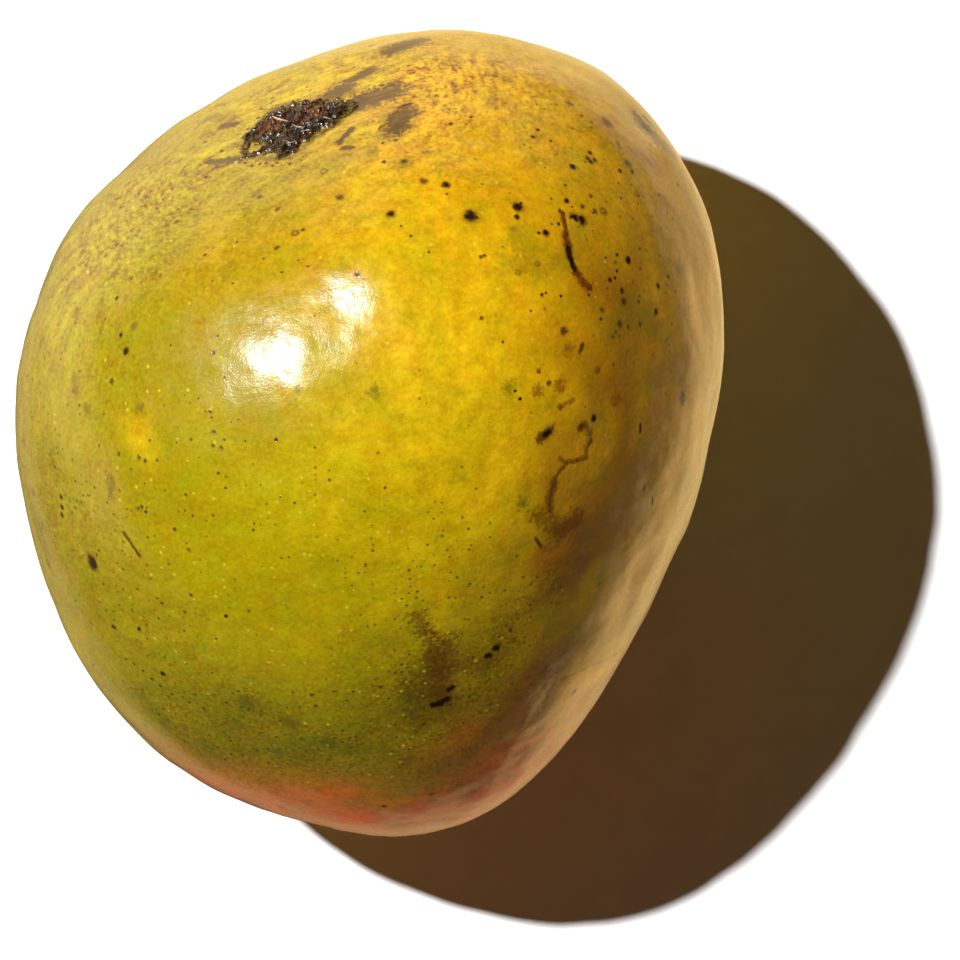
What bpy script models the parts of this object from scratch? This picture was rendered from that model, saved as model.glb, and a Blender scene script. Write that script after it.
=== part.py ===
"""A plump ripe mango lying on its lower cheek, as one closed solid. Metres, +Z up.

The fruit is shaped in its own frame first: +Z runs from the apex to the stem,
+Y is the cheek that ends up on top, +X is the dorsal side and -X the ventral
side. A direction on the fruit is given by its colatitude, measured from the
stem, and its longitude, measured from +X towards +Y. The fruit is then leaned
back to the way it rests, and pressed flat where it meets the surface.
"""

import math

import bmesh
import bpy
import numpy as np

NAME = "mango"

# The egg that the fruit starts from: half its length, width and thickness
HALF_LENGTH = 0.0519
HALF_WIDTH = 0.0461
HALF_THICKNESS = 0.0431
# How much fatter than the middle the stem end of the egg is, and the apex end thinner
STEM_TAPER = 0.165

# Broad forms that swell out of the egg, or sink into it where the height is negative:
# colatitude, longitude and spread in degrees, height in metres
BROAD_FORMS = {
    "stem_basin": (0.0, 0.0, 20.0, -0.0056),
    "dorsal_shoulder": (33.5, -28.0, 39.5, -0.0063),
    "ventral_shoulder": (63.5, 196.0, 33.0, 0.0055),
    "dorsal_belly": (132.0, 4.0, 22.5, 0.0058),
    "upper_cheek_end": (142.5, 79.0, 23.0, 0.0051),
    "apex_nose": (155.0, 76.0, 13.5, 0.0020),
    "lower_cheek": (109.0, -105.0, 22.5, 0.0035),
}

# The dried crust over the scar where the stem broke off
CRUST_LENGTH = 0.0150
CRUST_WIDTH = 0.0092
CRUST_HEIGHT = 0.0013
CRUST_LUMP_PITCH = 0.0034
CRUST_LUMP_TURN = 17.0
CRUST_LUMP_DEPTH = 0.6

# A shallow corky dent on the ventral shoulder
DENT_COLATITUDE = 51.5
DENT_LONGITUDE = 170.0
DENT_RADIUS = 0.0032
DENT_DEPTH = 0.0006

# How the fruit rests: the rise of its stem end, the compass heading of the stem
# from +X, and the turn about its own length, all in degrees
STEM_RISE = 31.4
STEM_HEADING = 101.7
LENGTH_ROLL = 15.4
# Height of skin that the fruit's weight presses flat, which sets the flat spot's width
PRESSED_HEIGHT = 0.0013

# The mesh: segments round the fruit, rings along it, and how far the rings crowd
# towards the stem, where the crust needs them
SEGMENTS = 88
RINGS = 52
STEM_CROWDING = 0.2

SKIN_COLOUR = (0.52, 0.36, 0.03, 1.0)
SKIN_ROUGHNESS = 0.38


def clear_scene():
    """Remove every object from the scene."""
    for obj in list(bpy.data.objects):
        bpy.data.objects.remove(obj, do_unlink=True)


def unit_direction(colatitude, longitude):
    """Return the unit direction at a colatitude and a longitude in degrees."""
    tilt = math.radians(colatitude)
    turn = math.radians(longitude)
    return np.array([math.sin(tilt) * math.cos(turn), math.sin(tilt) * math.sin(turn), math.cos(tilt)])


def crowd_to_stem(directions):
    """Slide directions along their meridians so that the rings lie closer near the stem."""
    along = np.arccos(np.clip(directions[:, 2], -1.0, 1.0)) / math.pi
    crowded = math.pi * (along - STEM_CROWDING * np.sin(math.pi * along) * (1.0 - along))
    turn = np.arctan2(directions[:, 1], directions[:, 0])
    return np.column_stack([np.sin(crowded) * np.cos(turn), np.sin(crowded) * np.sin(turn), np.cos(crowded)])


def egg_points(directions):
    """Return the egg's points: an ellipsoid whose width grows evenly towards the stem."""
    half_sizes = np.array([HALF_WIDTH, HALF_THICKNESS, HALF_LENGTH])
    reach = 1.0 / np.linalg.norm(directions / half_sizes, axis=1)
    points = directions * reach[:, None]
    widening = 1.0 + STEM_TAPER * points[:, 2] / HALF_LENGTH
    points[:, 0] *= widening
    points[:, 1] *= widening
    return points


def broad_relief(directions):
    """Return the height of the broad forms: each fades as a bell with the angle from its middle."""
    height = np.zeros(len(directions))
    for colatitude, longitude, spread, rise in BROAD_FORMS.values():
        middle = unit_direction(colatitude, longitude)
        height += rise * np.exp((directions @ middle - 1.0) / math.radians(spread) ** 2)
    return height


def crust_relief(points):
    """Return the height of the crust: an oval mound on the stem scar, broken into lumps.

    The lumps are three even waves that cross at sixty degrees, added together.
    """
    across = points[:, 0]
    along = points[:, 1]
    mound = np.exp(-((2.0 * across / CRUST_LENGTH) ** 2 + (2.0 * along / CRUST_WIDTH) ** 2) ** 2)
    lumps = np.zeros(len(points))
    for heading in (0.0, 60.0, 120.0):
        turn = math.radians(heading + CRUST_LUMP_TURN)
        run = across * math.cos(turn) + along * math.sin(turn)
        lumps += np.cos(2.0 * math.pi * run / CRUST_LUMP_PITCH + turn) / 3.0
    near_stem = points[:, 2] > 0.0
    return CRUST_HEIGHT * mound * (1.0 + CRUST_LUMP_DEPTH * lumps) * near_stem


def dent_relief(directions, points):
    """Return the depth of the corky dent: a round bell sunk into the ventral shoulder."""
    middle = unit_direction(DENT_COLATITUDE, DENT_LONGITUDE)
    reach = np.linalg.norm(points, axis=1)
    distance = reach * np.arccos(np.clip(directions @ middle, -1.0, 1.0))
    return -DENT_DEPTH * np.exp(-((distance / DENT_RADIUS) ** 2))


def fruit_points(directions):
    """Return the fruit's points in its own frame for unit directions from its middle."""
    points = egg_points(directions)
    points += directions * broad_relief(directions)[:, None]
    relief = crust_relief(points) + dent_relief(directions, points)
    return points + directions * relief[:, None]


def resting_turn():
    """Return the matrix whose columns are the world directions of the fruit's own axes."""
    rise = math.radians(STEM_RISE)
    heading = math.radians(STEM_HEADING)
    stem = np.array(
        [math.cos(rise) * math.cos(heading), math.cos(rise) * math.sin(heading), math.sin(rise)]
    )
    up = np.array([0.0, 0.0, 1.0])
    cheek = up - stem * (up @ stem)
    cheek /= np.linalg.norm(cheek)
    dorsal = np.cross(cheek, stem)
    roll = math.radians(LENGTH_ROLL)
    rolled = np.array(
        [[math.cos(roll), -math.sin(roll), 0.0], [math.sin(roll), math.cos(roll), 0.0], [0.0, 0.0, 1.0]]
    )
    return np.column_stack([dorsal, cheek, stem]) @ rolled


def lay_to_rest(points):
    """Turn the fruit to its resting pose, press its lowest skin flat and centre it on the origin."""
    placed = points @ resting_turn().T
    flat_level = placed[:, 2].min() + PRESSED_HEIGHT
    placed[:, 2] = np.maximum(placed[:, 2], flat_level) - flat_level
    middle = (placed.max(axis=0) + placed.min(axis=0)) / 2.0
    placed[:, 0] -= middle[0]
    placed[:, 1] -= middle[1]
    return placed


def skin_material():
    """Return the material of the waxy yellow-green skin."""
    material = bpy.data.materials.new("mango_skin")
    material.use_nodes = True
    shader = material.node_tree.nodes["Principled BSDF"]
    shader.inputs["Base Color"].default_value = SKIN_COLOUR
    shader.inputs["Roughness"].default_value = SKIN_ROUGHNESS
    shader.inputs["Metallic"].default_value = 0.0
    return material


def make_mango(collection):
    """Shape a UV sphere into the fruit and add it to the collection."""
    sphere = bmesh.new()
    bmesh.ops.create_uvsphere(sphere, u_segments=SEGMENTS, v_segments=RINGS, radius=1.0)
    directions = np.array([tuple(vertex.co) for vertex in sphere.verts])
    directions /= np.linalg.norm(directions, axis=1)[:, None]
    points = lay_to_rest(fruit_points(crowd_to_stem(directions)))
    for vertex, point in zip(sphere.verts, points):
        vertex.co = point
    bmesh.ops.recalc_face_normals(sphere, faces=sphere.faces)
    mesh = bpy.data.meshes.new(NAME)
    sphere.to_mesh(mesh)
    sphere.free()
    mesh.shade_smooth()
    mesh.materials.append(skin_material())
    mango = bpy.data.objects.new(NAME, mesh)
    collection.objects.link(mango)
    return mango


def main():
    """Build the fruit in a collection of its own."""
    clear_scene()
    collection = bpy.data.collections.new(NAME)
    bpy.context.scene.collection.children.link(collection)
    make_mango(collection)


if __name__ == "__main__":
    main()
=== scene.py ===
"""Looks of a plump ripe mango that lies on its lower cheek, laid out as a Blender add-on.

The skin repeats the formula of the CAD source on a finer grid, in metres with +Z up, and the
crust on the stem scar is a finer piece of its own. In the fruit's own frame +Z runs from the
apex to the stem, +Y is the upper cheek and +X the dorsal side. Colours are laid on as broad
zones, kept as attributes of the mesh. Every blemish is a stroke with coordinates of its own on
the faces round it, so that its edge stays sharp at any distance.
"""

import math

import bpy
import numpy as np
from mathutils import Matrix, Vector
from mathutils.bvhtree import BVHTree


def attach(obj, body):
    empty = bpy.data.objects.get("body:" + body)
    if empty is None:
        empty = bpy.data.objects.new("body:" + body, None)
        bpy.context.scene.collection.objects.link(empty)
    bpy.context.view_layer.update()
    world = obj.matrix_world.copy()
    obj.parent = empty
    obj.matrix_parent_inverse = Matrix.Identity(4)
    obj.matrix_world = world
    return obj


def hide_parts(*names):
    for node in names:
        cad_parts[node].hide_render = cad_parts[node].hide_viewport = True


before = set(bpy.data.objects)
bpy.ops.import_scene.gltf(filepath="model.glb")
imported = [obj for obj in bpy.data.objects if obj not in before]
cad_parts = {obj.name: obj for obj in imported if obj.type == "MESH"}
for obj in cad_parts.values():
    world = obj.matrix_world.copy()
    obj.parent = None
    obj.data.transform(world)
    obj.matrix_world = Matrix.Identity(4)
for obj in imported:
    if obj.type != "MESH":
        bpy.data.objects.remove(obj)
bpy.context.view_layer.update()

bl_info = {
    "name": "Mango",
    "version": (1, 0, 0),
    "blender": (4, 5, 0),
    "location": "3D View > Sidebar > Mango",
    "description": "Builds a ripe mango, its stem crust and blemishes, and the stage it lies on",
    "category": "Object",
}

MM = 0.001

# The view: the camera looks straight down on the fruit from this place
CAMERA_PLACE = (0.014185, -0.005968, 0.7437)
LENS_MM = 201.6
SENSOR_MM = 36.0
PHOTO_SIDE_PX = 960

# Broad forms that swell out of the egg, or sink into it where the height is negative:
# colatitude, longitude and spread in degrees, height in metres
BROAD_FORMS = {
    "stem_basin": (0.0, 0.0, 20.0, -0.0056),
    "dorsal_shoulder": (33.5, -28.0, 39.5, -0.0063),
    "ventral_shoulder": (63.5, 196.0, 33.0, 0.0055),
    "dorsal_belly": (132.0, 4.0, 22.5, 0.0058),
    "upper_cheek_end": (142.5, 79.0, 23.0, 0.0051),
    "apex_nose": (155.0, 76.0, 13.5, 0.0020),
    "lower_cheek": (109.0, -105.0, 22.5, 0.0035),
}
DENT_PLACE = (51.5, 170.0)
DENT_RADIUS = 3.2 * MM
DENT_DEPTH = 0.6 * MM

# Gentle unevenness of the skin: wavelength and height in metres
UNDULATIONS = ((16.0 * MM, 0.16 * MM), (7.0 * MM, 0.05 * MM), (3.4 * MM, 0.012 * MM))

# Small forms of the visible skin, as bells about a line of places: radius and height in metres,
# then colatitude and longitude in degrees
SMALL_FORMS = {
    "crown_swell": (8.2 * MM, 0.60 * MM, (33.8, 85.2)),
    "crown_gap": (4.1 * MM, -0.20 * MM, (40.3, 76.2)),
    "crown_dip": (9.0 * MM, -0.55 * MM, (48.1, 46.5)),
}

# The skin's grid: rows from stem to apex, columns round the fruit, and how far the rows crowd
# towards the stem
ROWS = 190
COLUMNS = 512
STEM_CROWDING = 0.2

# The crust's grid: rows over its top, columns round it, and the reach of the rows underneath
CRUST_ROWS = 110
CRUST_COLUMNS = 260
CRUST_UNDER = (0.9, 0.6, 0.3)
# How the drawn outline is widened: evenly, then height and count of waves round it
OUTLINE_SCALE = 1.02
OUTLINE_WAVES = ((0.04, 9.0), (0.03, 17.0))
# The crust's lumps: how many are drawn and their radius, for the big ones and the small ones,
# the seed, the drawn middles' spread as a share of the crust, and how far waves shift them
BIG_LUMPS = (190, 0.65 * MM)
SMALL_LUMPS = (900, 0.30 * MM)
CRUST_SEED = 11
LUMP_SPREAD = 0.62
LUMP_WANDER = 0.24 * MM
LUMP_WAVELENGTH = 1.3 * MM
LUMP_WAVE_SEEDS = (41, 42)
# The share of the mound that is there without lumps, what a big and a small lump's dome add,
# and the least that a big one's drawn number counts
BARE_SHARE = 0.35
BIG_SHARE = 0.50
SMALL_SHARE = 0.13
LEAST_DRAWN = 0.3
# How far beside a lump's edge its crevice reaches
BIG_CREVICE = 0.20 * MM
SMALL_CREVICE = 0.09 * MM
# The waves that break up the crust's rim: wavelength, height and seed
RAGGED_WAVES = ((1.5 * MM, 1.0, 43), (0.7 * MM, 0.7, 44))
RAGGED_DEPTH = 0.45 * MM
HOLLOW_RADIUS = 1.0 * MM
HOLLOW_DEPTH = 1.3 * MM
CORE_RADIUS = 1.7 * MM
RIM_DROP = 0.30 * MM
RIM_BLEND = 0.26 * MM
# How deep the crust's underside lies below the skin
UNDERSIDE_DEPTH = 0.9 * MM

# Colour zones: quality, strength, reach in millimetres, and the line through the zone's middle
# as pixels of the view
ZONES = {
    "left_flank": ("green", 0.9, 20.0, (45, 330), (60, 540)),
    "upper_left": ("green", 0.9, 20.0, (90, 250), (200, 300)),
    "stem_left": ("green", 0.8, 20.0, (170, 190), (300, 180)),
    "lower_cheek": ("green", 0.25, 16.0, (200, 520), (330, 640)),
    "apex_band": ("olive", 0.65, 16.0, (200, 735), (300, 750), (460, 745)),
    "belly_patch": ("olive", 0.6, 3.4, (436, 655), (440, 700)),
    "side_shade": ("olive", 0.6, 3.0, (490, 650), (545, 590)),
    "crown_orange": ("orange", 0.4, 7.0, (240, 262), (330, 240)),
    "top_orange": ("orange", 0.95, 22.0, (480, 90), (600, 170)),
    "right_orange": ("orange", 0.95, 20.0, (600, 230), (640, 380)),
    "right_rust": ("rust", 0.7, 8.0, (612, 300), (610, 440), (570, 540)),
    "lower_rust": ("rust", 0.4, 14.0, (575, 590), (520, 690)),
    "scar_rust": ("rust", 0.8, 3.0, (612, 128), (655, 165)),
    "knot_rust": ("rust", 0.5, 2.5, (556, 425), (550, 495)),
    "end_rust": ("rust", 0.7, 2.5, (550, 668), (532, 702)),
    # Painted sheen: these two straw zones lighten the skin along the right and lower right rim, where
    # the skin mirrors the floor
    "right_rim_painted_sheen": ("straw", 0.6, 7.0, (700, 280), (685, 420), (650, 540), (590, 670)),
    "lower_rim_painted_sheen": ("straw", 0.6, 4.5, (585, 685), (540, 748), (480, 806)),
    "top_olive": ("olive", 0.24, 9.0, (310, 62), (385, 62), (500, 58)),
    "stem_olive": ("olive", 0.16, 14.0, (150, 215), (290, 195)),
    "yellow_patch": ("straw", 0.28, 3.2, (134, 432), (142, 416)),
    "yellow_spot": ("orange", 0.7, 1.1, (300, 613), (308, 613)),
    "centre_gold": ("straw", 0.40, 20.0, (470, 380), (500, 450)),
    "upper_gold": ("straw", 0.16, 12.0, (440, 290), (400, 220)),
    "apex_blush": ("blush", 1.0, 10.0, (232, 796), (400, 825), (510, 785)),
    "shoulder_streaks": ("streaks", 0.9, 15.0, (150, 200), (300, 110), (420, 90)),
    "left_streaks": ("streaks", 0.35, 14.0, (60, 300), (60, 520)),
    "top_streaks": ("streaks", 0.25, 10.0, (520, 70), (660, 200)),
    "left_specks": ("specks", 1.0, 9.0, (55, 300), (60, 520)),
    "lower_left_specks": ("specks", 0.7, 9.0, (120, 560), (170, 680)),
    "belly_specks": ("specks", 1.0, 8.0, (440, 600), (500, 660)),
    "apex_specks": ("specks", 0.6, 9.0, (230, 730), (450, 720)),
    "cheek_specks": ("specks", 0.35, 14.0, (200, 480), (400, 560)),
    "right_specks": ("specks", 0.4, 10.0, (570, 130), (650, 300)),
    "cheek_pores": ("pores", 0.9, 24.0, (220, 480), (400, 660)),
    "top_pores": ("pores", 0.3, 16.0, (480, 200), (560, 420)),
}

# Colour zones that the view doesn't show, with their line by colatitude and longitude in degrees
FAR_ZONES = {
    "lower_green": ("green", 0.7, 22.0, (70, -60), (120, -110)),
    "lower_straw": ("straw", 0.5, 18.0, (60, -120), (80, -150)),
    "ventral_gold": ("orange", 0.35, 14.0, (80, 190), (110, 200)),
    "apex_red": ("blush", 1.0, 16.0, (165, 60), (150, 150)),
    "under_olive": ("olive", 0.4, 10.0, (110, -60), (135, -30)),
}

# How far the zones wander, the wavelength of that and the seeds of its three fields
ZONE_WANDER = 2.2 * MM
ZONE_WAVELENGTH = 11.0 * MM
ZONE_SEEDS = (31, 32, 33)

# The most of a quality that a zone gives, which leaves room for its noise
MOST_SHARE = 0.9

# How far the broad patches and the mottle swing each colour, in the order they are laid on gold
COLOUR_SWINGS = {
    "green": (0.9, 0.9),
    "olive": (1.4, 1.6),
    "orange": (1.2, 0.8),
    "rust": (1.8, 1.4),
    "straw": (0.8, 0.8),
    "blush": (0.6, 0.5),
}

# Dots strewn over the skin: the attribute that they grow denser with, the most that it adds to
# their least density, then spacing and radius in millimetres, softness, strength and colour
SKIN_DOTS = (
    ("pores", 0.75, 0.12, 1.35, 0.17, 0.7, 0.70, "lenticel"),
    ("specks", 0.70, 0.06, 0.85, 0.16, 0.5, 0.85, "speck"),
    ("streaks", 0.30, 0.06, 2.60, 0.42, 0.8, 0.60, "blot"),
)
QUALITIES = (*COLOUR_SWINGS, "specks", "streaks", "pores")

# Features of the skin's noises, across in millimetres
PATCH_SIZE = 5.5
HUE_SIZE = 3.6
MOTTLE_SIZE = 1.7
WANDER_SIZE = 0.6
GRAIN_SIZE = 0.5
# Streaks: how often they repeat round the fruit and down it, how often they repeat beside the
# stem for each millimetre along X, Y and Z, and the colatitudes where the two blend, in radians
STREAK_REPEATS = (16.0, 16.0, 9.0)
STEM_STREAK_REPEATS = (0.12, 0.65, 0.65)
STREAK_BLEND = (0.25, 0.75)
# How strongly the noises shade the skin. The streaks follow their zones, and all the shading
# follows olive and streaks together: what a zone adds, then what is there without it
STREAK_SHADE = (1.6, 0.25)
LIVELY_SHADE = (1.5, 0.62)
PATCH_SHADE = 0.7
MOTTLE_SHADE = 0.9
GRAIN_SHADE = 0.9
# How much that shading changes red, green and blue, and how the hue noise tilts them
SHADE_TINT = (0.75, 1.05, 0.6)
HUE_TINT = (0.30, -0.14, 0.0)
HALO_COLOUR = (0.50, 0.36, 0.20, 1.0)

# The skin's roughness, its swing with the mottle, and what a mark adds to it
SKIN_ROUGHNESS = 0.27
MOTTLE_ROUGHNESS = 0.14
MARK_ROUGHNESS = 0.05
# The skin's fine relief: across and height in millimetres, detail and roughness of its noise
SKIN_RELIEF = ((2.4, 0.10, 0.0, 0.55), (0.8, 0.026, 0.0, 0.55), (0.26, 0.027, 1.0, 0.7))
MARK_HEIGHT = 0.09

# How each kind of mark looks: colour, opacity, softness of its edge, wander of its outline,
# hollow middle, halo, relief and stripes
MARK_KINDS = {
    "pit": ((0.008, 0.0028, 0.0006), 1.0, 0.40, 0.38, 0.0, 0.85, -0.4, 0.0),
    "fleck": ((0.045, 0.014, 0.002), 0.85, 0.50, 0.60, 0.0, 0.45, -0.2, 0.0),
    "ring": ((0.060, 0.020, 0.002), 0.75, 0.35, 0.30, 0.9, 0.3, 0.3, 0.0),
    "rust": ((0.150, 0.036, 0.002), 0.65, 0.60, 0.90, 0.0, 0.2, 0.1, 0.0),
    "crack": ((0.085, 0.018, 0.001), 0.95, 0.40, 0.85, 0.0, 0.80, 0.6, 0.15),
    "olive": ((0.045, 0.040, 0.002), 0.55, 0.80, 0.70, 0.0, 0.0, 0.0, 0.0),
    "green": ((0.120, 0.105, 0.001), 0.42, 0.95, 0.80, 0.0, 0.0, 0.0, 0.0),
    "brown": ((0.026, 0.007, 0.001), 0.96, 0.32, 0.60, 0.0, 0.55, -0.2, 0.10),
    "purple": ((0.028, 0.008, 0.006), 0.98, 0.32, 0.60, 0.0, 0.55, -0.2, 0.14),
    "smudge": ((0.060, 0.032, 0.006), 0.60, 0.70, 0.80, 0.0, 0.0, 0.0, 0.1),
    "grey": ((0.060, 0.055, 0.035), 0.75, 0.35, 0.40, 0.0, 0.3, 0.2, 0.0),
    "blotch": ((0.075, 0.024, 0.001), 0.68, 0.75, 1.10, 0.0, 0.0, 0.0, 0.0),
    "scratch": ((0.095, 0.028, 0.001), 0.60, 0.50, 1.10, 0.0, 0.45, 0.3, 0.0),
    "stain": ((0.040, 0.022, 0.002), 0.75, 0.60, 1.00, 0.0, 0.0, 0.0, 0.0),
    "scar": ((0.050, 0.032, 0.018), 0.94, 0.25, 0.60, 0.0, 0.5, -0.5, 0.22),
    "cork": ((0.460, 0.390, 0.300), 0.85, 0.40, 0.90, 0.0, 0.0, 0.6, 0.30),
    "pale": ((0.500, 0.380, 0.120), 0.60, 0.50, 0.40, 0.0, 0.0, 0.4, 0.0),
}

# Round marks: kind, then across in millimetres and the pixels of the view they lie at
SPOTS = (
    ("pit", 1.50, (471, 216)),
    ("pit", 1.15, (574, 218), (518, 207), (582, 220)),
    ("pit", 0.95, (496, 648), (488, 656), (446, 185), (391, 214)),
    ("pit", 0.80, (624, 302), (573, 167), (628, 260), (656, 312), (620, 324), (546, 233), (126, 351),
     (594, 418), (404, 162), (574, 692)),
    ("pit", 0.62, (517, 217), (658, 286), (622, 291), (163, 674), (567, 201), (384, 806), (432, 794),
     (61, 497), (62, 507), (62, 515), (114, 627)),
    ("pit", 0.50, (451, 124), (632, 172), (620, 171), (610, 280), (640, 324), (599, 584), (396, 140),
     (384, 162), (229, 158), (533, 137), (659, 195), (117, 298), (121, 335), (206, 177), (139, 629),
     (222, 151), (205, 142), (246, 134)),
    ("pit", 0.40, (471, 117), (538, 130), (678, 185), (539, 233), (559, 224), (617, 255), (617, 271),
     (615, 278), (675, 292), (668, 277), (542, 295), (639, 302), (601, 319), (628, 327), (383, 143),
     (290, 164), (298, 100), (266, 163), (303, 230), (520, 399), (276, 440), (226, 616), (273, 166),
     (248, 129), (258, 118), (261, 109), (245, 163), (252, 166), (260, 164), (277, 163)),
    ("pit", 0.33, (551, 141), (521, 203), (621, 198), (673, 219), (557, 254), (561, 296), (589, 295),
     (515, 391), (205, 255), (613, 337), (616, 332), (329, 89), (335, 92), (326, 95), (347, 86),
     (345, 81), (126, 659), (134, 664), (143, 671), (152, 679), (160, 686), (172, 694), (142, 507),
     (146, 512)),
    ("pit", 0.27, (447, 194), (572, 207), (552, 224), (651, 182), (631, 185), (667, 214), (584, 242),
     (606, 258), (546, 293), (644, 291), (531, 311), (503, 342), (307, 87), (334, 84), (271, 103),
     (264, 258), (298, 260), (308, 266), (282, 272), (233, 283), (237, 242), (401, 226), (411, 236),
     (429, 252), (517, 556), (627, 514), (668, 338), (669, 346), (669, 352)),
    ("fleck", 0.95, (564, 331), (581, 427), (424, 181), (570, 104), (340, 197)),
    ("fleck", 0.60, (602, 310), (539, 371), (549, 383), (583, 207), (595, 211), (560, 407), (277, 248),
     (112, 381), (131, 279), (260, 197), (278, 209), (371, 46)),
    ("fleck", 0.45, (481, 257), (485, 256), (591, 196), (560, 211), (582, 116), (437, 96), (388, 57),
     (482, 318), (189, 550), (175, 529), (213, 446), (221, 448), (191, 595), (162, 603), (185, 612),
     (214, 432), (210, 412), (119, 454), (139, 458), (145, 461), (170, 214), (174, 218), (177, 222),
     (98, 247), (102, 252), (106, 256), (312, 695), (381, 687), (316, 706), (511, 630), (523, 721),
     (529, 708), (198, 121), (213, 353)),
    ("ring", 1.00, (603, 211), (295, 233), (324, 171)),
    ("ring", 0.75, (537, 264), (518, 272), (597, 370), (645, 488)),
    ("ring", 0.50, (615, 262), (339, 197)),
    ("purple", 0.60, (590, 153), (588, 158), (591, 162), (595, 160), (357, 274), (682, 394)),
    ("purple", 1.60, (607, 123), (682, 400)),
    ("olive", 1.60, (508, 388), (372, 152), (374, 391), (522, 503)),
    ("olive", 2.40, (404, 163), (246, 702), (290, 722), (328, 743)),
    ("rust", 1.40, (569, 349), (538, 392), (616, 400), (560, 385)),
    ("grey", 1.10, (628, 163), (546, 686)),
    ("smudge", 1.20, (77, 311), (74, 378), (87, 408), (116, 272), (139, 409), (24, 441), (33, 492),
     (42, 525), (48, 564), (282, 807), (75, 391)),
    ("pale", 0.50, (590, 438), (236, 162)),
)

# Long marks: kind, width in millimetres, and the line they follow, as pixels of the view
STROKES = (
    ("crack", 0.60, (562, 213), (564, 222), (566, 233)),
    ("crack", 0.95, (565, 236), (568, 246), (569, 256)),
    ("pit", 0.60, (568, 248), (570, 258), (574, 269)),
    ("crack", 0.95, (572, 264), (577, 275), (584, 283), (588, 287)),
    ("green", 2.60, (578, 228), (574, 250), (562, 262)),
    ("green", 3.20, (520, 236), (536, 262)),
    ("green", 3.00, (610, 326), (636, 300), (654, 330)),
    ("green", 2.20, (505, 262), (522, 268)),
    ("scratch", 0.80, (584, 424), (589, 433), (590, 441)),
    ("scratch", 0.55, (590, 441), (586, 448), (586, 457), (577, 460)),
    ("scratch", 0.50, (577, 460), (564, 462), (560, 458)),
    ("scratch", 1.20, (553, 483), (550, 495), (549, 506)),
    ("crack", 0.35, (552, 488), (550, 497), (549, 506)),
    ("scratch", 0.50, (566, 463), (556, 475), (553, 485)),
    ("scratch", 2.20, (540, 515), (560, 530), (575, 520)),
    ("fleck", 0.50, (583, 345), (580, 352)),
    ("fleck", 0.40, (536, 538), (541, 547)),
    ("fleck", 0.35, (617, 142), (620, 148)),
    ("fleck", 0.35, (217, 168), (224, 166), (231, 163)),
    ("fleck", 0.45, (124, 533), (131, 543), (140, 556)),
    ("fleck", 1.30, (549, 431), (545, 435), (541, 438)),
    ("pit", 0.55, (549, 432), (545, 435)),
    ("pit", 0.40, (640, 425), (640, 432)),
    ("pit", 0.40, (652, 498), (652, 504)),
    ("pit", 0.35, (709, 232), (710, 237)),
    ("pit", 0.40, (402, 107), (410, 104)),
    ("rust", 0.50, (560, 407), (573, 400)),
    ("rust", 0.90, (270, 91), (279, 86), (288, 80)),
    ("rust", 0.25, (559, 681), (590, 666), (622, 650)),
    ("scar", 3.80, (643, 123), (653, 134), (666, 147)),
    ("cork", 0.70, (639, 114), (652, 128), (666, 142)),
    ("cork", 0.60, (635, 124), (644, 136), (656, 147)),
    ("pit", 0.80, (644, 127), (648, 131)),
    ("purple", 3.00, (348, 109), (358, 105)),
    ("purple", 5.00, (366, 100), (376, 97), (388, 93)),
    ("purple", 1.00, (210, 162), (225, 161), (240, 161)),
    ("purple", 0.90, (339, 143), (345, 136), (352, 129)),
    ("brown", 3.30, (395, 127), (400, 119), (404, 113)),
    ("brown", 3.60, (394, 49), (404, 45), (415, 41)),
    ("brown", 2.00, (352, 80), (360, 76), (368, 72)),
    ("brown", 3.00, (328, 98), (336, 93), (345, 88)),
    ("brown", 1.30, (223, 126), (235, 124)),
    ("brown", 0.90, (344, 148), (351, 148)),
    ("smudge", 2.20, (208, 118), (223, 117)),
    ("smudge", 0.90, (217, 105), (226, 104)),
    ("smudge", 1.40, (111, 480), (111, 495)),
    ("pit", 1.40, (92, 561), (93, 565)),
    ("blotch", 2.60, (446, 645), (443, 668), (440, 694)),
    ("blotch", 2.20, (430, 640), (432, 658)),
    ("blotch", 2.00, (418, 618), (426, 632)),
    ("pit", 0.90, (434, 705), (441, 703), (447, 699)),
    ("pit", 0.60, (449, 690), (453, 687)),
    ("stain", 1.30, (214, 163), (228, 161), (241, 157)),
    ("stain", 1.50, (244, 146), (256, 128), (268, 116), (282, 106)),
    ("stain", 1.50, (292, 105), (318, 103), (340, 103)),
    ("stain", 1.20, (252, 157), (272, 159), (288, 157)),
    ("stain", 1.00, (300, 150), (318, 136), (338, 123)),
)

# Marks on the skin that the view doesn't show: kind, count, and least and most across in
# millimetres
SCATTERED = (
    ("pit", 150, 0.25, 1.2),
    ("fleck", 70, 0.3, 1.2),
    ("ring", 14, 0.5, 1.1),
    ("rust", 14, 1.0, 3.0),
    ("olive", 14, 1.5, 4.0),
    ("smudge", 12, 1.0, 3.0),
    ("brown", 6, 1.0, 2.4),
)
SCATTER_SEED = 5
# The power that favours small drawn marks, and the most that one is drawn out, in its widths
SCATTER_POWER = 1.6
SCATTER_STRETCH = 0.8

# Layers of marks, how far a mark and its halo reach in half widths, the most that a face's
# corner lies from its middle, and the place that a corner with no mark has
MARK_LAYERS = 3
MARK_REACH = 2.2
FACE_MARGIN = 0.65 * MM
NO_MARK = (99.0, 99.0, 0.0)
# The shortest half run that gives a heading of its own, and a heading for shorter ones
LEAST_RUN = 1e-7
ROUND_HEADING = (0.3, 0.5, 0.8)
# How strongly noise lets the outlines wander
WANDER_SWING = 5.0
# Where a mark's hollow middle, halo and relief fade out, in half widths
HOLLOW_FADE = (0.2, 0.75)
HALO_FADE = (0.7, 2.1)
RELIEF_FADE = (0.5, 1.3)
# How often stripes repeat along and across a mark, and the noise values they fade between
STRIPE_REPEATS = (0.3, 3.2, 1.0)
STRIPE_FADE = (0.42, 0.62)

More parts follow.
